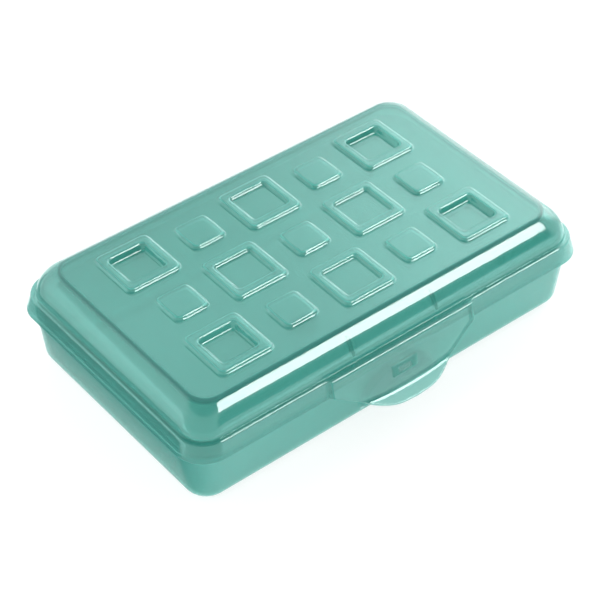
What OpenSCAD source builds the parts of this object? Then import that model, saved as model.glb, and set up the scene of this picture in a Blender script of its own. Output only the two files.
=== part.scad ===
// Pencil case in two mouldings: a tapered tray, and a domed lid that turns on two bars at
// the back. A flexing tab in the middle of the lid's front edge holds the case shut.
// Millimetres, +Z up, +Y towards the hinge, tray standing on z = 0 centred on the origin.

/* [Tray] */
// Length of the tray body at its shoulder
tray_l = 209.4; // [200:0.2:210]
// Width of the tray body at its shoulder
tray_w = 125.4; // [120:0.2:126]
// Corner radius of the tray at its shoulder, seen from above
tray_r = 13.5; // [13:0.1:16]
// Height of the shoulder where the upright rim begins
shoulder_z = 28.4; // [26:0.1:28.6]
// Height of the top of the rim
rim_z = 36.3; // [34:0.1:36.3]
// How far the rim stands in from the shoulder
rim_step = 1.25; // [1:0.05:1.6]
// Draft angle of the tray's sides
draft = 6.2; // [4:0.1:7]
// Outside radius between the sides and the floor
foot_r = 7; // [5:0.1:7]
// Wall thickness of the tray
tray_wall = 1.4; // [1.2:0.1:1.8]

/* [Lid] */
// Length of the lid over its skirt
lid_l = 215; // [214:0.2:220]
// Width of the lid over its skirt
lid_w = 131; // [130:0.2:136]
// Corner radius of the skirt, seen from above
lid_r = 15.5; // [14.8:0.1:17]
// Wall thickness of the lid
lid_wall = 1.3; // [1.1:0.1:1.4]
// Height of the skirt's lower edge
skirt_z = 28.9; // [28.7:0.1:30]
// Height of the ledge between the skirt and the dome
ledge_z = 37.5; // [37.4:0.1:38]
// How far the skirt leans outwards between the ledge and its lower edge
skirt_lean = 2.1; // [1.8:0.1:2.4]
// Radius of the dome's side, seen from the end
dome_r = 15.3; // [14:0.1:15.4]
// Radius of the crease between the dome's side and its flat top
crease_r = 4.5; // [3:0.1:4.6]

/* [Raised pattern] */
// Spacing of the squares along the case
pitch_x = 32.6; // [31:0.1:33]
// Spacing of the squares across the case
pitch_y = 31.5; // [30:0.1:32]
// Side of a framed square
frame_side = 27.2; // [26:0.1:28]
// Length of the hollow inside a frame
well_l = 20; // [18:0.1:21]
// Width of the hollow inside a frame
well_w = 18.8; // [17:0.1:20]
// Side of a plain square
pad_side = 17; // [15:0.1:18]
// Height of the squares above the flat top
raise = 1.5; // [0.8:0.1:1.6]
// Depth of the four corner hollows below the flat top
sink = 1.4; // [0.5:0.1:2]

/* [Latch] */
// Width of the front panel that carries the tab
panel_w = 76; // [70:1:80]
// Distance of the panel's top edge from the middle of the case
panel_out = 65.15; // [65.1:0.05:65.6]
// Angle at which the tab leans outwards
tab_lean = 14.36; // [12:0.1:15]
// Thickness of the tab
tab_t = 1.5; // [1.3:0.1:1.6]
// Length of the tab from the ledge to where its lip bends out
tab_len = 20.1; // [19:0.1:21]
// Thickness of the finger lip
lip_t = 1.5; // [1.3:0.1:1.6]
// Width of the keeper frame on the back of the tab
keeper_w = 14; // [12:0.1:16]
// Height of the keeper frame
keeper_h = 5.6; // [5:0.1:6]
// How far the keeper frame stands off the tab
keeper_t = 1.1; // [0.8:0.1:1.2]

/* [Hinge] */
// Distance of the two hinges from the middle of the case
hinge_x = 55; // [45:1:65]
// Distance of the hinge line behind the middle of the case
hinge_y = 67.5; // [67.2:0.1:68]
// Height of the hinge line
hinge_z = 30; // [29.8:0.1:30.4]
// Radius of a hinge bar
bar_r = 1.5; // [1.2:0.05:1.6]
// Radial play between a bar and its clip
bar_play = 0.08; // [0.05:0.01:0.1]
// Length of a clip
clip_l = 15; // [12:0.5:18]
// Thickness of the ears that hold a bar
ear_t = 2.4; // [2:0.1:3]

/* [Hidden] */
$fn = 64;
plastic = [0.45, 0.72, 0.69];
plastic_dark = [0.36, 0.62, 0.59];
plastic_pale = [0.60, 0.82, 0.79];
eps = 0.05;                        // overlap that joins touching solids
gap = 0.15;                        // play between the tab and the lid around it
arc_steps = 6;                     // flats that stand for each curved stretch of a wall
crease_steps = 3;                  // flats that stand for the crease
side_in = shoulder_z * tan(draft); // how far the sides have come in at floor level
foot_in = side_in + foot_r * tan((90 - draft) / 2);
dome_foot_in = 3.8;
dome_foot_z = ledge_z + 0.2;
dome_a0 = 84;                      // slope of the dome's side at its foot
dome_a1 = 28;                      // slope where the crease begins
crease_in = dome_foot_in + dome_r * (sin(dome_a0) - sin(dome_a1));
crease_z = dome_foot_z + dome_r * (cos(dome_a1) - cos(dome_a0));
top_in = crease_in + crease_r * sin(dome_a1);
top_z = crease_z + crease_r * (1 - cos(dome_a1));
under_ledge_z = ledge_z - 1.1;

// The rounded top edge of the tab, which turns in a groove along the front of the ledge
bead_r = tab_t / 2 + 0.1;
bead_down = (bead_r - tab_t / 2 * sin(tab_lean)) / cos(tab_lean);
bead_y = -panel_out + tab_t / 2 * cos(tab_lean) - bead_down * sin(tab_lean);
bead_z = ledge_z - bead_r;

// The tab's outline: straight sides, a curve that brings them in, and the lip at its foot
tab_side_len = 8.6;
tab_curve_len = 9.7;
tab_curve_in = 15;
tab_curve_bow = 1.6;
tab_curve_steps = 5;
lip_half_w = 19.5;
lip_reach = 5.9;
lip_drop = 2.8;
lip_bow = 6;
keeper_down = 9.5;
window_w = 6.8;
window_h = 3;
window_up = 0.9;

// The arched bulge in the tray's front wall, and the catch on it
bulge_top = 27;
bulge_foot = 5;
bulge_rise = 11;
bulge_y = -64.7;
bulge_bend_z = 12;
catch_w = 6.3;
catch_z0 = 22.9;
catch_z1 = 25.8;
catch_root_y = -63.9;

// The hinges: ears on the tray, clips and notches on the lid
clip_bore_r = bar_r + bar_play;
clip_out_r = clip_bore_r + 1.3;
clip_mouth = 1.7 * bar_r;
ear_r = bar_r + 1.1;
ear_gap = 0.4;
ear_root_y = 61.6;
ear_reach = clip_l / 2 + ear_gap + ear_t;
notch_w = 2 * ear_reach + 1.4;
notch_z = skirt_z + 5.3;

// Two stiffening ribs inside the dome
rib_x = 22.7;
rib_t = 1.2;
rib_depth = 2;

// Points on the dome's side, shifted towards the inside by d
function dome_points(d) = concat(
    [for (i = [0:arc_steps]) let (a = dome_a0 + (dome_a1 - dome_a0) * i / arc_steps)
        [dome_foot_in + dome_r * (sin(dome_a0) - sin(a)) + d * sin(a),
         dome_foot_z + dome_r * (cos(a) - cos(dome_a0)) - d * cos(a)]],
    [for (i = [1:crease_steps]) let (a = dome_a1 * (1 - i / crease_steps))
        [crease_in + crease_r * (sin(dome_a1) - sin(a)) + d * sin(a),
         crease_z + crease_r * (cos(a) - cos(dome_a1)) - d * cos(a)]]);

// Points on the curve from the floor up into the side, shifted towards the inside by d
function foot_points(d) =
    [for (i = [0:arc_steps]) let (a = (90 - draft) * i / arc_steps)
        [foot_in - (foot_r - d) * sin(a), foot_r - (foot_r - d) * cos(a)]];

// The same list from its last point to its first
function backwards(list) = [for (i = [len(list) - 1:-1:0]) list[i]];

// The same points to the nearest micrometre, so that neighbouring faces share exact corners
function to_micron(points) = [for (p = points) [round(p[0] * 1000) / 1000, round(p[1] * 1000) / 1000]];

// A wall that follows a rounded rectangle; outline is [distance in from its edge, height]
module rounded_sweep(l, w, r, outline) {
    points = to_micron(outline);
    for (turn = [0, 180]) {
        rotate([0, 0, turn])
            translate([-(l / 2 - r), -w / 2, 0])
            rotate([90, 0, 90])
            linear_extrude(l - 2 * r) polygon(points);
        rotate([0, 0, turn + 90])
            translate([-(w / 2 - r), -l / 2, 0])
            rotate([90, 0, 90])
            linear_extrude(w - 2 * r) polygon(points);
    }
    for (sx = [-1, 1], sy = [-1, 1])
        translate([sx * (l / 2 - r), sy * (w / 2 - r), 0])
            rotate([0, 0, sx > 0 ? (sy > 0 ? 0 : -90) : (sy > 0 ? 90 : 180)])
            rotate_extrude(angle = 90) polygon([for (p = points) [r - p[0], p[1]]]);
}

// A plate with rounded corners, standing on z = 0
module rounded_plate(l, w, r, h) {
    linear_extrude(h) {
        square([l - 2 * r, w], center = true);
        square([l, w - 2 * r], center = true);
        for (sx = [-1, 1], sy = [-1, 1])
            translate([sx * (l / 2 - r), sy * (w / 2 - r)]) circle(r);
    }
}

// A bar along X whose end outline is given as [y, z] points
module bar_x(l, points) {
    translate([-l / 2, 0, 0]) rotate([90, 0, 90]) linear_extrude(l) polygon(points);
}

// An upright arch along Y, from its foot to its crown
module arch(half_w, crown_z, foot_z, rise, y0, y1) {
    r = (half_w * half_w + rise * rise) / (2 * rise);
    intersection() {
        translate([0, y1, crown_z - r]) rotate([90, 0, 0]) cylinder(r = r, h = y1 - y0);
        translate([-half_w, y0, foot_z]) cube([2 * half_w, y1 - y0, crown_z - foot_z]);
    }
}

// The tray's wall from the floor up to the rim, seen from its end
function tray_wall_points() = let (w = tray_wall) concat(
    [[foot_in + 1, 0]], foot_points(0),
    [[0, shoulder_z - 0.3], [0.3, shoulder_z], [rim_step, shoulder_z],
     [rim_step, rim_z], [rim_step + w, rim_z], [rim_step + w, shoulder_z - 0.6],
     [w + 0.05, shoulder_z - 2]],
    backwards(foot_points(w)), [[foot_in + 1, w]]);

// The tray, with a bulge behind the tab that brings the catch forward
module tray() {
    w = tray_wall;
    floor_in = 2 * foot_in + 1;
    color(plastic) difference() {
        union() {
            rounded_sweep(tray_l, tray_w, tray_r, tray_wall_points());
            rounded_plate(tray_l - floor_in, tray_w - floor_in, 3.6, w);
            intersection() {
                arch(lip_half_w, bulge_top, bulge_foot, bulge_rise, -70, -50);
                bar_x(60, [[-61.5, 28], [bulge_y, 28], [bulge_y, bulge_bend_z],
                           [-60.5, 6.5], [-59.5, 6.5]]);
            }
        }
        // the bulge is hollow and open to the inside of the tray
        intersection() {
            arch(lip_half_w - w, bulge_top - w, bulge_foot, bulge_rise - w, -70, -50);
            bar_x(60, [[-56, 26], [bulge_y + w, 26], [bulge_y + w, bulge_bend_z + 0.5],
                       [-59.4, 7.4], [-56, 7.4]]);
        }
    }
}

// Small wedge on the tray's bulge that sits behind the keeper frame
module latch_catch() {
    top_y = -panel_out + tab_t / cos(tab_lean) + keeper_t + 0.25;
    color(plastic_dark)
        bar_x(catch_w, [[catch_root_y, catch_z0 - 0.6],
                        [top_y - (ledge_z - catch_z0) * tan(tab_lean), catch_z0],
                        [top_y - (ledge_z - catch_z1) * tan(tab_lean), catch_z1],
                        [catch_root_y, catch_z1 + 0.4]]);
}

// Two bars, each held between two ears on the back of the tray
module hinge_bars() {
    color(plastic_dark) for (side = [-1, 1]) translate([side * hinge_x, 0, 0]) {
        translate([-ear_reach, hinge_y, hinge_z])
            rotate([0, 90, 0])
            cylinder(r = bar_r, h = 2 * ear_reach);
        for (end = [-1, 1]) translate([end * (ear_reach - ear_t / 2), 0, 0]) {
            translate([-ear_t / 2, hinge_y, hinge_z])
                rotate([0, 90, 0])
                cylinder(r = ear_r, h = ear_t);
            bar_x(ear_t, [[ear_root_y, 21.5], [ear_root_y, 28.2], [hinge_y - 2.3, hinge_z + 1.2],
                          [hinge_y + 1.9, hinge_z - 1.6]]);
        }
    }
}

// A framed square; its hollow reaches down to floor_z
module framed_square(floor_z) {
    pan_wall = 1.2;
    difference() {
        union() {
            translate([0, 0, top_z - eps]) rounded_plate(frame_side, frame_side, 3, raise + eps);
            if (floor_z < top_z)
                translate([0, 0, floor_z - pan_wall])
                    rounded_plate(well_l + 2, well_w + 2, 3, top_z - floor_z + pan_wall);
        }
        translate([0, 0, floor_z]) rounded_plate(well_l, well_w, 2, 5);
    }
}

// The whole raised pattern: framed and plain squares in turn, like a chessboard
module pattern() {
    for (col = [-2:2], row = [-1:1]) translate([col * pitch_x, row * pitch_y, 0]) {
        if ((col + row) % 2 == 0)
            translate([0, 0, top_z - eps]) rounded_plate(pad_side, pad_side, 2.5, raise + eps);
        else
            framed_square(abs(col) == 2 ? top_z - sink : top_z);
    }
}

// The lid's wall from the skirt up to the flat top, seen from its end
function lid_wall_points() = let (
    t = lid_wall,
    in0 = t / cos(atan(skirt_lean / (ledge_z - skirt_z))),
    in1 = in0 + skirt_lean * (under_ledge_z - skirt_z) / (ledge_z - skirt_z)
) concat(
    [[in0, skirt_z], [0, skirt_z], [skirt_lean - 0.1, ledge_z - 0.4], [skirt_lean + 0.3, ledge_z]],
    dome_points(0), [[top_in, top_z - t]], backwards(dome_points(t)),
    [[dome_foot_in + t, under_ledge_z], [in1, under_ledge_z]]);

// The domed lid, with the panel's ledge and cheeks at the front and two notches at the back
module lid_shell() {
    t = lid_wall;
    front = -lid_w / 2;
    cut_w = panel_w + 2 * gap;
    color(plastic) difference() {
        union() {
            rounded_sweep(lid_l, lid_w, lid_r, lid_wall_points());
            translate([0, 0, top_z - t / 2])
                cube([lid_l - 2 * top_in, lid_w - 2 * top_in, t], center = true);
            pattern();
            // cheeks that close the panel's ends, and the ledge above the tab
            for (side = [-1, 1]) translate([side * (cut_w / 2 + t / 2), 0, 0])
                bar_x(t, [[front + 3, ledge_z], [-panel_out, ledge_z],
                          [-panel_out - (ledge_z - skirt_z) * tan(tab_lean), skirt_z],
                          [front + 1.2, skirt_z]]);
            bar_x(cut_w + t, [[front + 3, ledge_z], [bead_y, ledge_z],
                              [bead_y, under_ledge_z], [front + 3, under_ledge_z]]);
            for (side = [-1, 1]) translate([side * rib_x, 0, 0])
                bar_x(rib_t, [for (p = concat([for (i = [0:4]) dome_points(t / 2)[i]],
                                              [for (i = [4:-1:0]) dome_points(t + rib_depth)[i]]))
                              [p[0] + front, p[1]]]);
        }
        // the opening that the tab fills, and the groove that its rounded top edge turns in
        translate([-cut_w / 2, front - 5, skirt_z - 5])
            cube([cut_w, 9, under_ledge_z - skirt_z + 5]);
        translate([-cut_w / 2, bead_y, bead_z])
            rotate([0, 90, 0])
            cylinder(r = bead_r + bar_play, h = cut_w);
        // a notch for each hinge
        for (side = [-1, 1])
            translate([side * hinge_x - notch_w / 2, -front - 4, skirt_z - 5])
            cube([notch_w, 9, notch_z - skirt_z + 5]);
    }
}

// Two open clips that hang from the lid's back edge and grip the hinge bars
module hinge_clips() {
    color(plastic_pale) for (side = [-1, 1]) translate([side * hinge_x, 0, 0])
        difference() {
            union() {
                translate([-clip_l / 2, hinge_y, hinge_z])
                    rotate([0, 90, 0])
                    cylinder(r = clip_out_r, h = clip_l);
                bar_x(clip_l, [[62.6, 34.4], [63.4, 36.7], [64.2, 36.7],
                               [hinge_y + 0.3, hinge_z + 2.8], [hinge_y - 2.5, hinge_z + 0.6]]);
            }
            translate([-clip_l, hinge_y, hinge_z])
                rotate([0, 90, 0])
                cylinder(r = clip_bore_r, h = 2 * clip_l);
            translate([-clip_l, hinge_y - clip_mouth / 2, hinge_z - 6])
                cube([2 * clip_l, clip_mouth, 6]);
        }
}

// Half-outline of the tab, as [distance from the middle, distance down the tab]
function tab_half() = concat(
    [[panel_w / 2, bead_down], [panel_w / 2, tab_side_len]],
    [for (i = [1:tab_curve_steps]) let (k = i / tab_curve_steps)
        [panel_w / 2 - tab_curve_in * k + tab_curve_bow * sin(180 * k),
         tab_side_len + tab_curve_len * k]],
    [[lip_half_w, tab_len]]);

// The flat of the tab with the keeper frame on its back; the front face is the plane y = 0
module tab_panel() {
    half = tab_half();
    translate([0, tab_t, 0]) rotate([90, 0, 0]) linear_extrude(tab_t)
        polygon(concat([for (p = half) [p[0], -p[1]]],
                       [for (p = backwards(half)) [-p[0], -p[1]]]));
    translate([0, tab_t + keeper_t - eps, -keeper_down])
        rotate([90, 0, 0])
        linear_extrude(keeper_t) difference() {
            translate([-keeper_w / 2, -keeper_h]) square([keeper_w, keeper_h]);
            translate([-window_w / 2, window_up - keeper_h]) square([window_w, window_h]);
        }
}

// The tab: a rounded top edge, a leaning panel, and a finger lip that bends outwards
module latch_tab() {
    bend_y = -panel_out - tab_len * sin(tab_lean);
    bend_z = ledge_z - tab_len * cos(tab_lean);
    color(plastic_pale) {
        translate([-panel_w / 2, bead_y, bead_z])
            rotate([0, 90, 0])
            cylinder(r = bead_r, h = panel_w);
        translate([0, -panel_out, ledge_z]) rotate([-tab_lean, 0, 0]) tab_panel();
        // the finger lip, a shallow crescent
        intersection() {
            bar_x(60, [[bend_y + tab_t, bend_z + 0.4], [bend_y, bend_z + 0.4],
                       [bend_y - lip_reach, bend_z - lip_drop + lip_t],
                       [bend_y - lip_reach, bend_z - lip_drop],
                       [bend_y + 0.6, bend_z - lip_t + 0.6]]);
            bowed_prism(lip_half_w, lip_bow, bend_y + 3, bend_y - lip_reach);
        }
    }
}

// An upright prism whose plan is a shallow arc bulging towards -Y
module bowed_prism(half_w, rise, y_back, y_tip) {
    r = (half_w * half_w + rise * rise) / (2 * rise);
    intersection() {
        translate([0, y_tip + r, 0]) cylinder(r = r, h = 60, $fn = 96);
        translate([-half_w, y_tip, 0]) cube([2 * half_w, y_back - y_tip, 60]);
    }
}

tray();
latch_catch();
hinge_bars();
lid_shell();
hinge_clips();
latch_tab();
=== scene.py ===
"""Visual model of the pencil case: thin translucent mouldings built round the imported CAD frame."""
import math

import bmesh
import bpy
import numpy as np
from mathutils import Matrix, Vector


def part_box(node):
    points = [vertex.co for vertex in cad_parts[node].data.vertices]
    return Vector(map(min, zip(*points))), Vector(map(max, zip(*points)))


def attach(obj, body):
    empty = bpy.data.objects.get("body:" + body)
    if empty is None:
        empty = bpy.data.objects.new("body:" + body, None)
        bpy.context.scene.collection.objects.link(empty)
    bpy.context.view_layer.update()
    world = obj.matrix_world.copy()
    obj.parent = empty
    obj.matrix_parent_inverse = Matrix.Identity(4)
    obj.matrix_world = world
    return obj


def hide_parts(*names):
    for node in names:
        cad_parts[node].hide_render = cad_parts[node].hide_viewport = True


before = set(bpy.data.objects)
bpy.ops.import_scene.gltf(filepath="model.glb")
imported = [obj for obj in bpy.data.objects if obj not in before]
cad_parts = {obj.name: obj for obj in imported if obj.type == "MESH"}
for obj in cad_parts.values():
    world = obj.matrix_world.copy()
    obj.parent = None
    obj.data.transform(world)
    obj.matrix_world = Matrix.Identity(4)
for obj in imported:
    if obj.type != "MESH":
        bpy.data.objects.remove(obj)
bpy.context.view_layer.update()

MM = 0.001


def mm_box(node):
    """The lowest and highest corner of a CAD node, in millimetres."""
    low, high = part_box(node)
    return np.array(low) / MM, np.array(high) / MM


lid_low, lid_high = mm_box("lid_shell")
tray_low, tray_high = mm_box("tray")

# ---------------------------------------------------------------- sizes, millimetres and degrees

# raised squares on the lid: plain pads and framed wells in a chequered grid
COLUMNS = range(-2, 3)
ROWS = range(-1, 2)
PITCH = (32.6, 31.5)
RAISE = 1.5
SQUARE_CORNER = 2.6
SQUARE_SLOPE = 1.3
PAD_HALF = 8.3
FRAME_HALF = 13.4
WELL_HALF = (10.0, 9.4)
WELL_CORNER = 1.6
WELL_INSET = 0.4
CORNER_WELL_SLOPE = 2.2
CORNER_SINK = 1.4
INNER_SHIFT = 0.35

# lid: flat top, crease, dome, ledge and leaning skirt
LID_HALF = (lid_high[0], lid_high[1])
LID_WALL = 1.3
LID_CORNER = 14.1
LID_KEEP = (70.0, 30.0)
TOP_Z = lid_high[2] - RAISE
TOP_CORNER = 8.0
CREASE_R = 4.5
# half-width of the painted shade along the crease
CREASE_DARK = 1.4
DOME_R = 14.9
DOME_SLOPES = (84, 28)
DOME_FOOT_IN = 3.85
DOME_FOOT_CORNER = 12.5
SKIRT_Z = lid_low[2]
SKIRT_H = 8.6
SKIRT_LEAN = 2.1
LEDGE_Z = SKIRT_Z + SKIRT_H
UNDER_Z = LEDGE_Z - 1.0
DOME_FOOT_Z = LEDGE_Z + 0.35
RIB_X = 22.7
RIB_DEPTH = 1.9
RIB_ROOT = 0.25
RIB_SPAN = slice(8, 20)

# notches in the back of the skirt, over the hinges
HINGE_X = 55.0
NOTCH_HALF = 11.0
NOTCH_RISE = 5.3
NOTCH_EDGE = 1.3
NOTCH_TOP = SKIRT_Z + NOTCH_RISE + NOTCH_EDGE

# latch panel at the front of the lid, and the tab that hangs from it
PANEL_HALF = 38.0
PANEL_OUT = 1.85
PANEL_Y = -65.15
PANEL_FOLD = 0.98
CHEEK_X = 39.6
CHEEK_W = 1.3
LIP_TOP = UNDER_Z + 0.02
LIP_LOW = UNDER_Z - 0.1
TAB_T = 1.5
TAB_TOP = 1.12
TAB_LEAN = 14.36
TAB_BEND = 20.1
TAB_BEND_R = 2.6
TAB_TURN = 49.5

# tray: floor, drafted side, shoulder, upright rim, and the bulge behind the tab
TRAY_HALF = (tray_high[0], tray_high[1])
TRAY_CORNER = 13.5
TRAY_KEEP = (60.0, 30.0)
TRAY_WALL = 1.4
DRAFT = 6.2
FOOT_R = 7.0
SHOULDER_Z = 28.4
RIM_Z = tray_high[2]
RIM_STEP = 1.25
GATE_R = 6.0
GATE_RISE = 0.35
BULGE_Y = -64.7
BULGE_HALF = 19.5
BULGE_TOP = 27.0
BULGE_RISE = 11.0
BULGE_FOOT_Z = 6.0

# ---------------------------------------------------------------- looks and light

# plastic: the glow of sharp edges, painted as a highlight, the painted shade along the lid's crease
# and behind the tab, and how much clearer the thin tab is
EDGE_GLOW = 0.4
PAINTED_SHADE_HIDE = 0.9
THIN_CLEAR = 0.2
TAB_THIN = -0.7

# studio: the light from all round, overhead, behind and in front, and the floor's share of it
WORLD_LEVEL = 1.5
ZENITH_LEVEL = 0.35
BACK_LIGHT = 3.2
LEFT_LIGHT = 0.6
FRONT_DIM = -1.3
FLOOR_ALBEDO = 0.93
FLOOR_GLOW = 0.5
FLOOR_WHITE = 0.75
FLOOR_PAINT = 0.35
# the painted shadow on the floor, a dimmer strip that only the case sees, in metres: its middle, and
# where it starts and stops fading out
FLOOR_DIM = 0.15
STRIP_X = -0.143
STRIP_FADE_X = (0.030, 0.043)
STRIP_FADE_Y = (-0.04, -0.08)


def smooth(t):
    """A soft step from 0 to 1."""
    t = np.clip(t, 0.0, 1.0)
    return t * t * (3 - 2 * t)


def sin_d(a):
    return math.sin(math.radians(a))


def cos_d(a):
    return math.cos(math.radians(a))


def tan_d(a):
    return math.tan(math.radians(a))


# ---------------------------------------------------------------- mesh helpers

def merged_lines(values, shortest):
    """Sorted grid lines, without those closer together than shortest."""
    out = []
    for v in sorted(values):
        if not out or v - out[-1] >= shortest:
            out.append(v)
    return out


class Sheet:
    """A grid over a rounded rectangle. Its border is the loop that walls are swept along.

    Each border sample has a foot point on the rectangle of corner centres and an outward
    direction, so the same loop gives a ring of any size and corner radius. Foot points closer
    to the middle than keep stay where they are when the size changes."""

    def __init__(self, half, corner, lines_x, lines_y, keep):
        self.keep = keep
        self.core = (half[0] - corner, half[1] - corner)
        x, y = np.meshgrid(lines_x, lines_y, indexing="ij")
        self.shape = x.shape
        over_x = np.maximum(np.abs(x) - self.core[0], 0)
        over_y = np.maximum(np.abs(y) - self.core[1], 0)
        reach = np.maximum(over_x, over_y)
        length = np.hypot(over_x, over_y)
        scale = np.where((over_x > 0) & (over_y > 0), reach / np.maximum(length, 1e-9), 1.0)
        self.x = np.sign(x) * (np.minimum(np.abs(x), self.core[0]) + over_x * scale)
        self.y = np.sign(y) * (np.minimum(np.abs(y), self.core[1]) + over_y * scale)
        nx, ny = self.shape
        self.loop = ([(i, 0) for i in range(nx)] + [(nx - 1, j) for j in range(1, ny)]
                     + [(i, ny - 1) for i in range(nx - 2, -1, -1)]
                     + [(0, j) for j in range(ny - 2, 0, -1)])
        i, j = np.array(self.loop).T
        px, py = self.x[i, j], self.y[i, j]
        self.foot = np.stack([np.clip(px, -self.core[0], self.core[0]),
                              np.clip(py, -self.core[1], self.core[1])], 1)
        out = np.stack([px, py], 1) - self.foot
        self.out = out / np.linalg.norm(out, axis=1)[:, None]

    def ring(self, half, corner, z):
        """The loop as a ring of another size, at height z."""
        foot = self.foot.copy()
        for axis in (0, 1):
            keep, old, new = self.keep[axis], self.core[axis], half[axis] - corner
            past = np.maximum(np.abs(foot[:, axis]) - keep, 0)
            near = np.minimum(np.abs(foot[:, axis]), keep)
            foot[:, axis] = np.sign(foot[:, axis]) * (near + past * (new - keep) / (old - keep))
        flat = foot + corner * self.out
        return np.column_stack([flat, np.full(len(flat), z)])

    def front(self, reach):
        """Which border samples face straight forwards, within reach of the middle."""
        return (self.out[:, 1] < -0.999) & (np.abs(self.foot[:, 0]) < reach)

    def back(self):
        """Which border samples face straight back."""
        return self.out[:, 1] > 0.999


def grid_quads(rows, cols):
    """The point indices of a grid, and its faces."""
    index = np.arange(rows * cols).reshape(rows, cols)
    quads = np.stack([index[:-1, :-1], index[1:, :-1], index[1:, 1:], index[:-1, 1:]], -1)
    return index, quads.reshape(-1, 4)


def bridge(a, b):
    """The faces between two closed loops of point indices."""
    return np.stack([a, b, np.roll(b, -1), np.roll(a, -1)], 1)


def build_shell(name, sheet, first_z, rings, last_z):
    """A closed shell: a sheet, the rings that lead away from its border, and a second sheet."""
    nx, ny = sheet.shape
    count = len(sheet.loop)
    grid = np.column_stack([sheet.x.ravel(), sheet.y.ravel()])
    points = [np.column_stack([grid, first_z.ravel()])] + rings
    points.append(np.column_stack([grid, last_z.ravel()]))
    index, quads = grid_quads(nx, ny)
    loop_i, loop_j = np.array(sheet.loop).T
    border = index[loop_i, loop_j]
    loops = [border]
    for k in range(len(rings)):
        loops.append(nx * ny + k * count + np.arange(count))
    last_start = nx * ny + len(rings) * count
    loops.append(last_start + border)
    faces = [quads, last_start + quads[:, ::-1]]
    faces += [bridge(a, b) for a, b in zip(loops[:-1], loops[1:])]
    return mesh_object(name, np.concatenate(points), np.concatenate(faces))


def mesh_object(name, points_mm, faces):
    """A smooth-shaded mesh object from points in millimetres."""
    mesh = bpy.data.meshes.new(name)
    mesh.from_pydata((np.asarray(points_mm) * MM).tolist(), [], np.asarray(faces).tolist())
    work = bmesh.new()
    work.from_mesh(mesh)
    bmesh.ops.remove_doubles(work, verts=work.verts, dist=1e-7)
    bmesh.ops.recalc_face_normals(work, faces=work.faces)
    work.to_mesh(mesh)
    work.free()
    mesh.shade_smooth()
    piece = bpy.data.objects.new(name, mesh)
    bpy.context.scene.collection.objects.link(piece)
    return piece


def mark_thickness(piece, share):
    """Store painted shade and thinness at each point: 1 painted dark, 0 usual, -1 thin and clear.

    share is a function of the points' x, y and z in millimetres."""
    points = np.empty(len(piece.data.vertices) * 3)
    piece.data.vertices.foreach_get("co", points)
    x, y, z = points.reshape(-1, 3).T / MM
    values = piece.data.attributes.new("thickness", "FLOAT", "POINT")
    values.data.foreach_set("value", np.broadcast_to(share(x, y, z), x.shape).astype(float))


def closed_slab(name, outer, inner, edge_steps=4):
    """A closed sheet between two point grids (rows, columns, 3), with a rounded rim all round."""
    rows, cols = outer.shape[:2]
    index, quads = grid_quads(rows, cols)
    loop = np.concatenate([index[0, :], index[1:, -1], index[-1, -2::-1], index[-2:0:-1, 0]])
    a, b = outer.reshape(-1, 3), inner.reshape(-1, 3)
    centre = (a[loop] + b[loop]) / 2
    across = (a[loop] - b[loop]) / 2
    along = np.roll(centre, -1, 0) - np.roll(centre, 1, 0)
    outward = np.cross(along, across)
    outward /= np.maximum(np.linalg.norm(outward, axis=1)[:, None], 1e-9)
    if ((centre - centre.mean(0)) * outward).sum() < 0:
        outward = -outward
    depth = 0.35 * np.linalg.norm(across, axis=1)[:, None]
    points, faces, loops = [a, b], [quads, rows * cols + quads[:, ::-1]], [loop]
    for step in range(1, edge_steps):
        angle = math.pi * step / edge_steps
        points.append(centre + across * math.cos(angle) + outward * depth * math.sin(angle))
        loops.append(2 * rows * cols + (step - 1) * len(loop) + np.arange(len(loop)))
    loops.append(rows * cols + loop)
    faces += [bridge(p, q) for p, q in zip(loops[:-1], loops[1:])]
    return mesh_object(name, np.concatenate(points), np.concatenate(faces))


def spline(points, steps):
    """Points along a Catmull-Rom curve through the given ones."""
    p = np.array([2 * np.array(points[0]) - points[1]] + list(points)
                 + [2 * np.array(points[-1]) - points[-2]], float)
    out = []
    for k in range(1, len(p) - 2):
        for t in np.linspace(0, 1, steps, endpoint=False):
            out.append(0.5 * (2 * p[k] + (p[k + 1] - p[k - 1]) * t
                              + (2 * p[k - 1] - 5 * p[k] + 4 * p[k + 1] - p[k + 2]) * t * t
                              + (3 * p[k] - p[k - 1] - 3 * p[k + 1] + p[k + 2]) * t ** 3))
    out.append(p[-2])
    return np.array(out)


def rounded_edge(inset, width, z, height, count=8):
    """(inset, height) of the points round a half-round edge of a wall, without its ends."""
    angles = [math.pi * k / count for k in range(1, count)]
    return [(inset + width / 2 - width / 2 * math.cos(a), z + height * math.sin(a))
            for a in angles]


# ---------------------------------------------------------------- lid

def rounded_square_distance(x, y, half_x, half_y, corner):
    """Signed distance to a rounded rectangle, negative inside."""
    qx = np.abs(x) - (half_x - corner)
    qy = np.abs(y) - (half_y - corner)
    outside = np.hypot(np.maximum(qx, 0), np.maximum(qy, 0))
    return outside + np.minimum(np.maximum(qx, qy), 0) - corner


def raised_square(dx, dy, half, shift):
    """Height of one raised square about its middle."""
    d = rounded_square_distance(dx, dy, half, half, SQUARE_CORNER) + shift
    return RAISE * smooth(0.5 - d / SQUARE_SLOPE)


def sunk_well(dx, dy, corner_frame, shift):
    """Depth of the well inside a frame. The four corner frames are deeper and slope more."""
    depth = RAISE + (CORNER_SINK if corner_frame else 0.0)
    slope = CORNER_WELL_SLOPE if corner_frame else SQUARE_SLOPE
    inset = slope / 2 if corner_frame else WELL_INSET
    d = rounded_square_distance(dx, dy, WELL_HALF[0] - inset, WELL_HALF[1] - inset, WELL_CORNER)
    return depth * smooth(0.5 - (d - shift) / slope)


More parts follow.
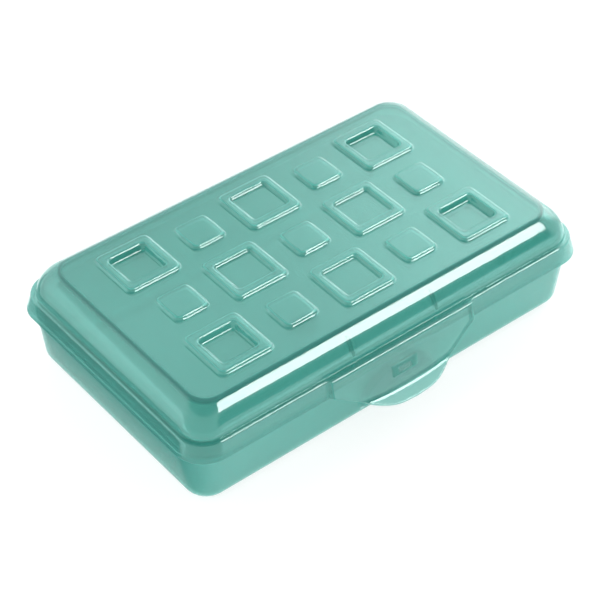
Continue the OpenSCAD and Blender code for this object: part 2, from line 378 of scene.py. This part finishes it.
def pattern_height(x, y, shift=0.0):
    """Height of the raised squares above the flat top.

    shift narrows the squares and widens the wells, for the inner face of the wall."""
    height = np.zeros_like(x)
    for col in COLUMNS:
        for row in ROWS:
            dx, dy = x - col * PITCH[0], y - row * PITCH[1]
            if (col + row) % 2 == 0:
                height += raised_square(dx, dy, PAD_HALF, shift)
                continue
            well = sunk_well(dx, dy, abs(col) == 2, shift)
            height += raised_square(dx, dy, FRAME_HALF, shift) - well
    return height


def lid_lines(axis):
    """Grid lines across the flat top: close together where the squares have their edges."""
    half = LID_HALF[axis] - TOP_IN
    core = half - TOP_CORNER
    pitch = PITCH[axis]
    lines = [0.0]
    for k in (COLUMNS, ROWS)[axis]:
        for step in np.arange(6.6, 15.0, 0.42):
            lines += [k * pitch - step, k * pitch + step]
        lines += [k * pitch + s for s in (-4.4, -2.2, 0, 2.2, 4.4)]
        lines += [k * pitch + pitch / 2]
    edge = max(abs(v) for v in lines)
    lines += [s * v for s in (-1, 1) for v in np.arange(edge + 1.5, half - 0.5, 1.5)]
    lines = [v for v in lines if abs(v) < half - 0.3]
    if axis == 0:
        # the panel's cheeks and the hinge notches need lines where they start and end
        lines += [s * v for s in (-1, 1) for v in (37.9, 38.15, 38.5, 38.9, 39.3, 39.7)]
        lines += [s * HINGE_X + t * v for s in (-1, 1) for t in (-1, 1)
                  for v in (NOTCH_HALF - 0.1, NOTCH_HALF + 0.05)]
    lines = merged_lines(lines, 0.12)
    lines = [v for v in lines if abs(abs(v) - core) > 0.3]
    lines += [-half, half, -core, core]
    if core < edge:
        return sorted(lines)
    extra = [core + (half - core) * k / 8 for k in range(1, 8)]
    lines = [v for v in lines if abs(v) <= core + 1e-6 or abs(v) >= half - 1e-6]
    return sorted(lines + extra + [-v for v in extra])


def lid_corner(inset):
    """Corner radius of the lid at a distance in from its skirt's edge."""
    if inset < DOME_FOOT_IN:
        return LID_CORNER + (DOME_FOOT_CORNER - LID_CORNER) * inset / DOME_FOOT_IN
    k = (inset - DOME_FOOT_IN) / (TOP_IN - DOME_FOOT_IN)
    return DOME_FOOT_CORNER + (TOP_CORNER - DOME_FOOT_CORNER) * min(k, 1.0)


# where the arcs of the dome and the crease meet and end, and their stretch to the lid's height
CREASE_IN = DOME_FOOT_IN + DOME_R * (sin_d(DOME_SLOPES[0]) - sin_d(DOME_SLOPES[1]))
TOP_IN = CREASE_IN + CREASE_R * sin_d(DOME_SLOPES[1])
CREASE_RISE = CREASE_R * (1 - cos_d(DOME_SLOPES[1]))
DOME_RISE = DOME_R * (cos_d(DOME_SLOPES[1]) - cos_d(DOME_SLOPES[0]))
DOME_SCALE_Z = (TOP_Z - DOME_FOOT_Z) / (DOME_RISE + CREASE_RISE)


def dome_profile(depth, crease_steps=6, dome_steps=16):
    """(inset, height) from the flat top's edge down to the dome's foot, depth below the surface."""
    a0, a1 = DOME_SLOPES
    out = []
    for k in range(1, crease_steps):
        a = a1 * k / crease_steps
        u = TOP_IN - CREASE_R * sin_d(a)
        z = TOP_Z - CREASE_R * (1 - cos_d(a)) * DOME_SCALE_Z
        out.append((u + depth * sin_d(a), z - depth * cos_d(a)))
    for k in range(dome_steps + 1):
        a = a1 + (a0 - a1) * k / dome_steps
        u = DOME_FOOT_IN + DOME_R * (sin_d(a0) - sin_d(a))
        z = DOME_FOOT_Z + DOME_R * (cos_d(a) - cos_d(a0)) * DOME_SCALE_Z
        out.append((u + depth * sin_d(a), z - depth * cos_d(a)))
    return out


def crease_thickness(x, y, z):
    """Painted shade: a dark band along the line where the flat top turns down."""
    half = (LID_HALF[0] - TOP_IN, LID_HALF[1] - TOP_IN)
    past = rounded_square_distance(x, y, half[0], half[1], TOP_CORNER)
    middle = 0.6 * (TOP_IN - CREASE_IN)
    return smooth(1.0 - np.abs(past - middle) / CREASE_DARK)


def skirt_inset(z):
    """Inset of the leaning skirt's outer face at height z."""
    return SKIRT_LEAN * (z - SKIRT_Z) / SKIRT_H


def lid_steps():
    """(inset, height, share) of each ring from the flat top, over the skirt and back inside.

    share is how much of the latch panel's forward shift the ring takes at the front."""
    steps = [(u, z, 0.0) for u, z in dome_profile(0.0)]
    # the fillet at the dome's foot, then the flat ledge and the bevel along its edge
    steps += [(3.82, LEDGE_Z + 0.22, 0.0), (3.74, LEDGE_Z + 0.1, 0.0), (3.6, LEDGE_Z + 0.03, 0.03),
              (3.42, LEDGE_Z, 0.1), (2.62, LEDGE_Z, 0.9), (2.5, LEDGE_Z - 0.02, 1.0),
              (2.38, LEDGE_Z - 0.08, 1.0), (2.1, LEDGE_Z - 0.3, 1.0),
              (2.02, LEDGE_Z - 0.39, 1.0), (1.97, LEDGE_Z - 0.5, 1.0)]
    for k in range(1, 9):
        z = LEDGE_Z - 0.5 - (LEDGE_Z - 0.5 - SKIRT_Z - 0.5) * (k / 8)
        steps.append((skirt_inset(z), z, 1.0))
    steps += [(u, z, 1.0) for u, z in rounded_edge(0.0, LID_WALL, SKIRT_Z + 0.5, -0.5)]
    for k in range(0, 8):
        z = SKIRT_Z + 0.5 + (UNDER_Z - 0.4 - SKIRT_Z - 0.5) * (k / 7)
        steps.append((LID_WALL + 0.05 + skirt_inset(z), z, 1.0))
    # the underside of the ledge
    steps += [(3.45, UNDER_Z - 0.1, 0.85), (3.65, UNDER_Z, 0.7), (4.9, UNDER_Z, 0.1),
              (5.1, UNDER_Z + 0.12, 0.0), (5.15, UNDER_Z + 0.4, 0.0)]
    steps += [(u, z, 0.0) for u, z in reversed(dome_profile(LID_WALL))]
    return steps


def open_panel(ring, z, opening):
    """Fold the skirt up under the ledge where the tab hangs in its place.

    PANEL_FOLD is the share of the tab's lean that is taken out of the skirt on the way."""
    down = (LIP_TOP - z) / (LIP_TOP - SKIRT_Z)
    ring[opening, 2] = LIP_TOP - down * (LIP_TOP - LIP_LOW)
    ring[opening, 1] += (LIP_TOP - z) * tan_d(TAB_LEAN) * PANEL_FOLD


def raise_notch(ring, z, notch):
    """Lift the skirt's lower edge over a hinge."""
    down = (NOTCH_TOP - z) / (NOTCH_TOP - SKIRT_Z)
    new_z = NOTCH_TOP - down * NOTCH_EDGE
    ring[notch, 2] = new_z
    ring[notch, 1] -= (new_z - z) * SKIRT_LEAN / SKIRT_H


def build_lid():
    """The lid: flat top with its squares, dome, ledge, and skirt with its opening and notches."""
    sheet = Sheet((LID_HALF[0] - TOP_IN, LID_HALF[1] - TOP_IN), TOP_CORNER,
                  lid_lines(0), lid_lines(1), LID_KEEP)
    top = TOP_Z + pattern_height(sheet.x, sheet.y)
    under = TOP_Z - LID_WALL + pattern_height(sheet.x, sheet.y, INNER_SHIFT)
    x = np.abs(sheet.foot[:, 0])
    front = sheet.front(60)
    panel = np.where(front, smooth((CHEEK_X - x) / CHEEK_W), 0.0)
    opening = front & (x < PANEL_HALF + 0.02)
    notch = sheet.back() & (np.abs(x - HINGE_X) < NOTCH_HALF)
    rings = []
    for inset, z, share in lid_steps():
        half = (LID_HALF[0] - inset, LID_HALF[1] - inset)
        ring = sheet.ring(half, lid_corner(inset), z)
        ring[:, 1] -= PANEL_OUT * panel * share
        if z < LIP_TOP and share > 0.5:
            open_panel(ring, z, opening)
        if z < NOTCH_TOP:
            raise_notch(ring, z, notch)
        rings.append(ring)
    lid = build_shell("lid_shell_visual", sheet, top, rings, under)
    # painted shade along the crease
    mark_thickness(lid, crease_thickness)
    return lid


def build_lid_rib(name, side):
    """A slim stiffening rib on the inside of the dome's front."""
    root = dome_profile(LID_WALL - RIB_ROOT)[RIB_SPAN]
    tip = dome_profile(LID_WALL + RIB_DEPTH)[RIB_SPAN]
    left, right = [], []
    for (u0, z0), (u1, z1) in zip(root, tip):
        row_left, row_right = [], []
        for t in np.linspace(0, 1, 5):
            y = -LID_HALF[1] + u0 + (u1 - u0) * t
            z = z0 + (z1 - z0) * t
            half_t = 0.75 - 0.2 * t
            row_left.append((side * RIB_X - half_t, y, z))
            row_right.append((side * RIB_X + half_t, y, z))
        left.append(row_left)
        right.append(row_right)
    return closed_slab(name, np.array(left), np.array(right))


# ---------------------------------------------------------------- tray

def tray_foot_in():
    """Inset of the flat floor's edge from the tray's shoulder."""
    return SHOULDER_Z * tan_d(DRAFT) + FOOT_R * tan_d((90 - DRAFT) / 2)


def tray_profile(depth):
    """(inset, height) from the flat floor out and up the side to just under the shoulder."""
    foot_in = tray_foot_in()
    out = []
    for k in range(1, 11):
        a = (90 - DRAFT) * k / 10
        out.append((foot_in - (FOOT_R - depth) * sin_d(a), FOOT_R - (FOOT_R - depth) * cos_d(a)))
    top = SHOULDER_Z - (0.45 if depth == 0 else 2.2)
    u0, z0 = out[-1]
    for k in range(1, 31):
        z = z0 + (top - z0) * (k / 30)
        out.append((u0 - (z - z0) * tan_d(DRAFT), z))
    return out


def bulge_mask(x, z):
    """1 inside the arched bulge of the front wall, 0 outside, with a soft edge."""
    radius = (BULGE_HALF ** 2 + BULGE_RISE ** 2) / (2 * BULGE_RISE)
    round_d = np.hypot(x, z - (BULGE_TOP - radius)) - radius
    side_d = np.abs(x) - BULGE_HALF
    d = np.maximum(round_d, side_d)
    foot = smooth((z - BULGE_FOOT_Z) / 6.0)
    return smooth(0.5 - (d + 0.5) / 1.4) * foot


def bulge_thickness(x, y, z):
    """Painted shade: the tray's wall is darker in the bulge behind the tab."""
    at_front = smooth((-y - 60.0) / 1.0)
    return bulge_mask(x, z) * at_front * smooth((z - BULGE_FOOT_Z) / 8.0)


def tray_lines(core, half):
    """Grid lines across the floor: close together at the bulge and at the mark in the middle."""
    lines_x = list(np.linspace(-24, 24, 61)) + [-core[0], core[0]]
    lines_x += [s * v for s in (-1, 1) for v in np.arange(28, core[0] - 2, 4.5)]
    lines_y = list(np.linspace(-core[1], core[1], 24)) + list(np.linspace(-7.2, 7.2, 19))
    lines_y = merged_lines(lines_y, 0.5)
    for lines, c, h in ((lines_x, core[0], half[0]), (lines_y, core[1], half[1])):
        lines += [s * (c + (h - c) * k / 6) for s in (-1, 1) for k in range(1, 7)]
    return sorted(lines_x), sorted(lines_y)


def rim_steps():
    """(inset, height) over the shoulder and the upright rim, as two lists: outside and inside."""
    inner = RIM_STEP + TRAY_WALL
    outside = [(0.02, SHOULDER_Z - 0.2), (0.16, SHOULDER_Z - 0.05), (0.4, SHOULDER_Z),
               (RIM_STEP - 0.25, SHOULDER_Z + 0.02), (RIM_STEP - 0.05, SHOULDER_Z + 0.12),
               (RIM_STEP, SHOULDER_Z + 0.4), (RIM_STEP, SHOULDER_Z + 3), (RIM_STEP, RIM_Z - 1.5),
               (RIM_STEP, RIM_Z - 0.5)]
    outside += rounded_edge(RIM_STEP, TRAY_WALL, RIM_Z - 0.5, 0.5)
    inside = [(inner, RIM_Z - 0.5), (inner, RIM_Z - 1.5),
              (inner, SHOULDER_Z + 3), (inner, SHOULDER_Z - 0.4),
              (inner - 0.15, SHOULDER_Z - 0.8), (TRAY_WALL + 0.35, SHOULDER_Z - 1.7),
              (TRAY_WALL + 0.2, SHOULDER_Z - 1.95)]
    return outside, inside


def press_bulge(ring, z, x, front, inner):
    """Push the front wall out to the bulge's flat face. Inside, the bulge is a little smaller."""
    shrink, drop = (1.08, 0.6) if inner else (1.0, 0.0)
    mask = np.where(front, bulge_mask(x * shrink, z + drop), 0)
    face = BULGE_Y + (TRAY_WALL if inner else 0.0)
    ring[:, 1] = ring[:, 1] * (1 - mask) + face * mask


def build_tray():
    """The tray: floor, side, shoulder and rim, with the bulge in its front wall."""
    foot_in = tray_foot_in()
    corner = TRAY_CORNER - foot_in
    half = (TRAY_HALF[0] - foot_in, TRAY_HALF[1] - foot_in)
    core = (half[0] - corner, half[1] - corner)
    lines_x, lines_y = tray_lines(core, half)
    sheet = Sheet(half, corner, lines_x, lines_y, TRAY_KEEP)
    outside, inside = rim_steps()
    outside = tray_profile(0.0) + outside
    inside += list(reversed(tray_profile(TRAY_WALL)))
    front = sheet.front(50)
    rings = []
    for k, (inset, z) in enumerate(outside + inside):
        now = (TRAY_HALF[0] - inset, TRAY_HALF[1] - inset)
        ring = sheet.ring(now, TRAY_CORNER - min(inset, foot_in), z)
        if z < BULGE_TOP + 1.5:
            press_bulge(ring, z, sheet.foot[:, 0], front, k >= len(outside))
        rings.append(ring)
    # a shallow round mark under the middle of the floor, where the plastic was let in
    below = GATE_RISE * smooth((GATE_R - np.hypot(sheet.x, sheet.y)) / 1.5)
    above = np.full(sheet.shape, TRAY_WALL)
    tray = build_shell("tray_visual", sheet, below, rings, above)
    # painted shade in the bulge behind the tab
    mark_thickness(tray, bulge_thickness)
    return tray


# ---------------------------------------------------------------- latch tab

def tab_outline(x):
    """How far down the tab its edge is, at a distance x from the middle."""
    curve = spline([(0.0, 26.4), (8.0, 25.8), (13.0, 24.4), (17.5, 22.0), (21.5, 19.3),
                    (26.0, 16.3), (31.0, 12.9), (35.5, 9.9), (38.0, 8.9)], 12)
    return np.interp(np.abs(x), curve[:, 0], curve[:, 1])


def tab_surface(x, v, depth):
    """A point at distance v down the tab, depth behind its outer surface.

    The tab leans out, then turns further out over a bend that rises towards its sides."""
    lean, turn = math.radians(TAB_LEAN), math.radians(TAB_TURN)
    bend = TAB_BEND - 2.0 * (x / 24.0) ** 2
    start = bend - TAB_BEND_R * math.tan(turn / 2)
    past = np.clip((v - start) / (TAB_BEND_R * turn), 0, 1)
    angle = lean + past * turn
    straight = np.minimum(v, start)
    rest = np.maximum(v - start - TAB_BEND_R * turn, 0)
    y = -straight * math.sin(lean) + TAB_BEND_R * (np.cos(angle) - math.cos(lean))
    z = -straight * math.cos(lean) - TAB_BEND_R * (np.sin(angle) - math.sin(lean))
    y += depth * np.cos(angle) - rest * np.sin(angle)
    z -= depth * np.sin(angle) + rest * np.cos(angle)
    return np.stack([x, PANEL_Y + y, LEDGE_Z + z], -1)


def build_tab():
    """The tab: a curved sheet that hangs from the ledge and ends in the finger lip."""
    x = np.linspace(-PANEL_HALF + 0.05, PANEL_HALF - 0.05, 97)
    low = tab_outline(x)
    v = np.array([TAB_TOP + (low - TAB_TOP) * t for t in np.linspace(0, 1, 56)])
    xs = np.broadcast_to(x, v.shape)
    thin = 1 - 0.25 * smooth((v - TAB_BEND) / 6.0)
    outer = tab_surface(xs, v, 0.0)
    inner = tab_surface(xs, v, TAB_T * thin)
    tab = closed_slab("latch_tab_visual", outer, inner)
    mark_thickness(tab, lambda x, y, z: TAB_THIN)
    return tab


def keeper_loop(half_w, top, low, depth, corner=0.6):
    """A rounded rectangle on the back of the tab, at a depth behind the tab's outer surface."""
    ring = []
    for side, v, start in ((-1, top + corner, 180), (1, top + corner, 270),
                           (1, low - corner, 0), (-1, low - corner, 90)):
        for k in range(5):
            a = start + 90 * k / 4
            ring.append(tab_surface(np.array(side * (half_w - corner) + corner * cos_d(a)),
                                    np.array(v + corner * sin_d(a)), depth))
    return np.array(ring)


def build_keeper():
    """The rectangular frame on the back of the tab that goes over the catch."""
    half_w, top, low = 7.0, 9.5, 15.1
    hole_w, hole_top, hole_low = 3.3, 11.7, 14.4
    soft = 0.25
    root, face = TAB_T - 0.15, TAB_T + 1.1
    loops = [keeper_loop(half_w, top, low, root),
             keeper_loop(half_w, top, low, face - soft),
             keeper_loop(half_w - soft, top + soft, low - soft, face),
             keeper_loop(hole_w + soft, hole_top - soft, hole_low + soft, face),
             keeper_loop(hole_w, hole_top, hole_low, face - soft),
             keeper_loop(hole_w, hole_top, hole_low, root)]
    count, n = len(loops), len(loops[0])
    index = [k * n + np.arange(n) for k in range(count)]
    faces = [bridge(index[k], index[(k + 1) % count]) for k in range(count)]
    return mesh_object("keeper_frame", np.concatenate(loops), np.concatenate(faces))


# ---------------------------------------------------------------- materials

def srgb(r, g, b):
    """A linear colour from 0-255 screen values."""
    def lin(c):
        c /= 255.0
        return c / 12.92 if c <= 0.04045 else ((c + 0.055) / 1.055) ** 2.4
    return (lin(r), lin(g), lin(b), 1.0)


class Nodes:
    """Short calls for building a node tree. A value may be a number or another node's output."""

    def __init__(self, tree):
        self.tree = tree

    def put(self, value, socket):
        if isinstance(value, bpy.types.NodeSocket):
            self.tree.links.new(value, socket)
        else:
            socket.default_value = value

    def add(self, kind, inputs=None, **settings):
        node = self.tree.nodes.new(kind)
        for key, value in settings.items():
            setattr(node, key, value)
        for key, value in (inputs or {}).items():
            self.put(value, node.inputs[key])
        return node

    def math(self, op, a, b=0.0):
        node = self.add("ShaderNodeMath", operation=op)
        self.put(a, node.inputs[0])
        self.put(b, node.inputs[1])
        return node.outputs[0]

    def times(self, a, b):
        return self.math("MULTIPLY", a, b)

    def less(self, amount, share):
        """1 - amount * share: a factor that falls as amount rises."""
        return self.math("SUBTRACT", 1.0, self.times(amount, share))

    def ramp(self, value, low, high, to_low=0.0, to_high=1.0, **settings):
        """value from low..high onto to_low..to_high, and held at the ends."""
        node = self.add("ShaderNodeMapRange",
                        {"Value": value, "From Min": low, "From Max": high,
                         "To Min": to_low, "To Max": to_high}, **settings)
        return node.outputs[0]

    def mix(self, factor, a, b):
        node = self.add("ShaderNodeMixShader")
        for socket, value in zip(node.inputs, (factor, a, b)):
            self.put(value, socket)
        return node.outputs[0]


def surface_detail(n, texture):
    """Fine moulded grain, slow swirls and long scuffs: (normal, swirl, scuffs)."""
    place = n.add("ShaderNodeTexCoord").outputs["Object"]
    grain = n.add("ShaderNodeTexNoise", {"Vector": place, "Scale": 2600.0, "Detail": 2.0})
    swirl = n.add("ShaderNodeTexNoise", {"Vector": place, "Scale": 22.0, "Detail": 3.0,
                                         "Distortion": 0.8})
    stretch = n.add("ShaderNodeMapping", {"Vector": place, "Scale": (30.0, 900.0, 900.0),
                                          "Rotation": (0.0, 0.0, 0.6)})
    scuff = n.add("ShaderNodeTexNoise", {"Vector": stretch.outputs[0], "Scale": 1.0,
                                         "Detail": 3.0})
    bump = n.add("ShaderNodeBump", {"Height": grain.outputs["Fac"], "Strength": texture,
                                    "Distance": 0.00002})
    wave = n.add("ShaderNodeBump", {"Height": swirl.outputs["Fac"], "Strength": 0.05,
                                    "Distance": 0.0004, "Normal": bump.outputs[0]})
    scuffs = n.ramp(scuff.outputs["Fac"], 0.62, 0.74)
    return wave.outputs[0], swirl.outputs["Fac"], scuffs


def cloudy_part(n, body, normal, painted_light_and_tone):
    """The cloudy part, lit from both sides. Its colour is scaled by the painted highlight on edges,
    the painted shade and a random tone.
    """
    colour = n.add("ShaderNodeVectorMath", {0: body[:3], "Scale": painted_light_and_tone},
                   operation="SCALE").outputs[0]
    diffuse = n.add("ShaderNodeBsdfDiffuse", {"Color": colour, "Normal": normal}).outputs[0]
    through = n.add("ShaderNodeBsdfTranslucent", {"Color": colour, "Normal": normal}).outputs[0]
    return n.mix(0.5, diffuse, through)


def clear_part(n, tint, thin):
    """The clear part, less tinted where the wall is thin."""
    shown = n.add("ShaderNodeMix", {0: n.times(thin, 0.3), 6: tint, 7: (1, 1, 1, 1)},
                  data_type="RGBA").outputs[2]
    return n.add("ShaderNodeBsdfTransparent", {"Color": shown}).outputs[0]


def clear_share(n, clear, scuffs, edge, thick, thin):
    """How much of the surface is clear: less at a slant, in scuffs, on edges, and under the painted
    shade.
    """
    facing = n.add("ShaderNodeLayerWeight", {"Blend": 0.35}).outputs["Facing"]
    share = n.times(n.less(facing, 0.4), clear)
    share = n.math("SUBTRACT", share, n.times(scuffs, 0.04))
    share = n.times(share, n.less(edge, 0.4))
    share = n.times(share, n.less(thick, PAINTED_SHADE_HIDE))
    return n.math("ADD", share, n.times(thin, THIN_CLEAR))


def gloss_part(n, normal, roughness, scuffs, swirl):
    """The gloss coat, a little rougher in scuffs and swirls."""
    rough = n.math("ADD", n.times(scuffs, 0.10), roughness)
    rough = n.math("ADD", rough, n.times(swirl, 0.03))
    return n.add("ShaderNodeBsdfGlossy", {"Color": (1, 1, 1, 1), "Roughness": rough,
                                          "Normal": normal}).outputs[0]


def gloss_share(n, normal, backfacing, thin):
    """How much of the surface is gloss: less on faces seen from inside the wall, and if thin."""
    fresnel = n.add("ShaderNodeFresnel", {"IOR": 1.49, "Normal": normal}).outputs[0]
    share = n.times(fresnel, n.less(backfacing, 0.6))
    share = n.times(share, n.less(thin, 0.4))
    return n.math("MINIMUM", share, 0.6)


def moulded_plastic(name, body, tint, clear, roughness, texture, painted_shade_dark):
    """Translucent moulded plastic: part seen through, part cloudy, under a gloss coat.

    body is the cloudy colour, tint the colour of what shows through, clear how much shows
    through one face of a wall seen square on, texture the depth of the fine moulded grain, and
    the shade factor how much darker the painted shade makes the wall, along the lid's crease and
    behind the tab."""
    material = bpy.data.materials.new(name)
    material.use_nodes = True
    tree = material.node_tree
    tree.nodes.clear()
    n = Nodes(tree)
    normal, swirl, scuffs = surface_detail(n, texture)
    shape = n.add("ShaderNodeNewGeometry").outputs
    # painted highlight: sharp outer edges are made paler, and they hide more
    edge = n.ramp(shape["Pointiness"], 0.51, 0.58)
    # the painted shade along the crease and behind the tab (above 0), and how thin the wall is
    # (below 0)
    wall = n.add("ShaderNodeAttribute", attribute_name="thickness").outputs["Fac"]
    thick = n.math("MAXIMUM", wall, 0.0)
    thin = n.math("MAXIMUM", n.times(wall, -1.0), 0.0)
    # the cloudy colour's factor: painted highlight on sharp edges, painted shade, and random tone
    painted_light_and_tone = n.math("ADD", 1.0, n.times(edge, EDGE_GLOW))
    painted_light_and_tone = n.times(painted_light_and_tone, n.less(thick, painted_shade_dark))
    painted_light_and_tone = n.times(n.ramp(swirl, 0.3, 0.7, 0.96, 1.04), painted_light_and_tone)
    inside = n.mix(clear_share(n, clear, scuffs, edge, thick, thin),
                   cloudy_part(n, body, normal, painted_light_and_tone), clear_part(n, tint, thin))
    surface = n.mix(gloss_share(n, normal, shape["Backfacing"], thin), inside,
                    gloss_part(n, normal, roughness, scuffs, swirl))
    n.add("ShaderNodeOutputMaterial", {"Surface": surface})
    return material


def dress(piece, body, material, slot, *replaced):
    """Give a new piece its material, its CAD body and the CAD nodes it stands for."""
    piece.data.materials.clear()
    piece.data.materials.append(material)
    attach(piece, body)
    if replaced:
        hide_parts(*replaced)


def dress_cad_node(node, material):
    """A CAD node that is shown as it is, with its edges softened."""
    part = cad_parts[node]
    part.data.materials.clear()
    part.data.materials.append(material)
    part.data.shade_smooth()
    join = part.modifiers.new("join_faces", "WELD")
    join.merge_threshold = 0.001 * MM
    soften = part.modifiers.new("soft_edges", "BEVEL")
    soften.width = 0.25 * MM
    soften.segments = 3
    soften.limit_method = "ANGLE"
    soften.angle_limit = math.radians(40)
    soften.harden_normals = True


# ---------------------------------------------------------------- floor, light and camera

def direction(azimuth, elevation):
    """A unit vector; azimuth 0 is -Y and 90 is +X, elevation is above the horizon."""
    a, e = math.radians(azimuth), math.radians(elevation)
    return Vector((math.sin(a) * math.cos(e), -math.cos(a) * math.cos(e), math.sin(e)))


def build_floor():
    """A plain floor, white to the camera. The case sees a painted shadow: a dimmer strip beside its
    left wall.
    """
    size = 6.0
    corners = [(-size, -size, 0), (size, -size, 0), (size, size, 0), (-size, size, 0)]
    mesh = bpy.data.meshes.new("floor")
    mesh.from_pydata(corners, [], [(0, 1, 2, 3)])
    floor = bpy.data.objects.new("floor", mesh)
    bpy.context.scene.collection.objects.link(floor)
    material = bpy.data.materials.new("floor_white_and_painted_shadow")
    material.use_nodes = True
    tree = material.node_tree
    shader = tree.nodes["Principled BSDF"]
    shader.inputs["Roughness"].default_value = 0.9
    shader.inputs["Specular IOR Level"].default_value = 0.1
    shader.inputs["Emission Color"].default_value = (1, 1, 1, 1)
    n = Nodes(tree)
    place = n.add("ShaderNodeSeparateXYZ",
                  {"Vector": n.add("ShaderNodeTexCoord").outputs["Object"]}).outputs
    # the painted shadow: a dimmer strip beside the case's left wall, seen only by rays from the case
    from_strip = n.math("ABSOLUTE", n.math("ADD", place["X"], -STRIP_X))
    beside = n.ramp(from_strip, *STRIP_FADE_X, FLOOR_DIM)
    ahead = n.ramp(place["Y"], *STRIP_FADE_Y, FLOOR_DIM)
    lit = n.math("MAXIMUM", beside, ahead)
    seen = n.add("ShaderNodeLightPath").outputs["Is Camera Ray"]
    unseen = n.times(lit, n.math("SUBTRACT", 1.0, seen))
    glow = n.math("ADD", n.times(unseen, FLOOR_GLOW), n.times(seen, FLOOR_WHITE))
    paint = n.math("ADD", n.times(unseen, FLOOR_ALBEDO), n.times(seen, FLOOR_PAINT))
    tree.links.new(glow, shader.inputs["Emission Strength"])
    tree.links.new(paint, shader.inputs["Base Color"])
    mesh.materials.append(material)


def softbox(name, azimuth, elevation, distance, across, size, power):
    """A rectangular light that only shows in reflections. across is the way its width runs."""
    light = bpy.data.lights.new(name, "AREA")
    light.shape = "RECTANGLE"
    light.size, light.size_y = size
    light.energy = power
    lamp = bpy.data.objects.new(name, light)
    lamp.visible_diffuse = False
    where = direction(azimuth, elevation)
    up = where.cross(Vector(across)).normalized()
    lamp.location = where * distance
    lamp.rotation_mode = "QUATERNION"
    lamp.rotation_quaternion = Matrix((up.cross(where), up, where)).transposed().to_quaternion()
    bpy.context.scene.collection.objects.link(lamp)


def build_world():
    """A white studio: dim overhead and low in front, brighter low behind on both sides."""
    world = bpy.data.worlds.new("studio")
    bpy.context.scene.world = world
    world.use_nodes = True
    tree = world.node_tree
    tree.nodes.clear()
    n = Nodes(tree)
    look = n.add("ShaderNodeTexCoord").outputs["Generated"]

    def lobe(azimuth, elevation, inner, outer, amount):
        """A soft round patch of light in one direction; inner and outer are half-angles."""
        towards = n.add("ShaderNodeVectorMath",
                        {0: look, 1: direction(azimuth, elevation)[:]},
                        operation="DOT_PRODUCT").outputs["Value"]
        return n.ramp(towards, cos_d(outer), cos_d(inner), 0.0, amount,
                      interpolation_type="SMOOTHSTEP")

    height = n.add("ShaderNodeSeparateXYZ", {"Vector": look}).outputs["Z"]
    level = n.ramp(height, 0.68, 0.85, WORLD_LEVEL, ZENITH_LEVEL)
    level = n.math("ADD", level, lobe(115, 20, inner=12, outer=33, amount=BACK_LIGHT))
    level = n.math("ADD", level, lobe(27, 12, inner=6, outer=24, amount=FRONT_DIM))
    level = n.math("ADD", level, lobe(-130, 20, inner=10, outer=45, amount=LEFT_LIGHT))
    background = n.add("ShaderNodeBackground", {"Color": (0.97, 0.99, 1.0, 1),
                                                "Strength": level})
    n.add("ShaderNodeOutputWorld", {"Surface": background.outputs[0]})


def build_camera():
    """The camera, at the photograph's viewing angle."""
    azimuth, elevation, distance = -38.93, 42.19, 0.9018
    target = Vector((8.76, 13.92, 0.0)) * MM
    camera = bpy.data.objects.new("camera", bpy.data.cameras.new("camera"))
    camera.data.sensor_width = 36.0
    camera.data.lens = 119.9
    back = direction(azimuth, elevation)
    camera.location = target + back * distance
    camera.rotation_mode = "QUATERNION"
    camera.rotation_quaternion = (-back).to_track_quat("-Z", "Y")
    camera.data.clip_start, camera.data.clip_end = 0.05, 50
    bpy.context.scene.collection.objects.link(camera)
    bpy.context.scene.camera = camera


# ---------------------------------------------------------------- the case and its studio

LID_LOOK = moulded_plastic("lid_plastic", body=srgb(98, 184, 175), tint=srgb(194, 232, 227),
                           clear=0.7, roughness=0.05, texture=0.25, painted_shade_dark=0.45)
TRAY_LOOK = moulded_plastic("tray_plastic", body=srgb(100, 190, 181), tint=srgb(192, 231, 226),
                            clear=0.6, roughness=0.12, texture=0.5, painted_shade_dark=0.42)

dress(build_lid(), "lid", LID_LOOK, "lid_plastic", "lid_shell")
dress(build_lid_rib("rib_left", -1), "lid", LID_LOOK, "lid_plastic")
dress(build_lid_rib("rib_right", 1), "lid", LID_LOOK, "lid_plastic")
dress(build_tab(), "latch", LID_LOOK, "lid_plastic", "latch_tab")
dress(build_keeper(), "latch", LID_LOOK, "lid_plastic")
dress(build_tray(), "base", TRAY_LOOK, "tray_plastic", "tray")
dress_cad_node("latch_catch", TRAY_LOOK)
dress_cad_node("hinge_bars", TRAY_LOOK)
dress_cad_node("hinge_clips", LID_LOOK)

build_floor()
build_world()
softbox("key_softbox", azimuth=37.5, elevation=45.3, distance=1.64,
        across=(0.952, 0.160, -0.262), size=(0.70, 0.78), power=29)
build_camera()
bpy.context.scene.view_settings.view_transform = "Standard"
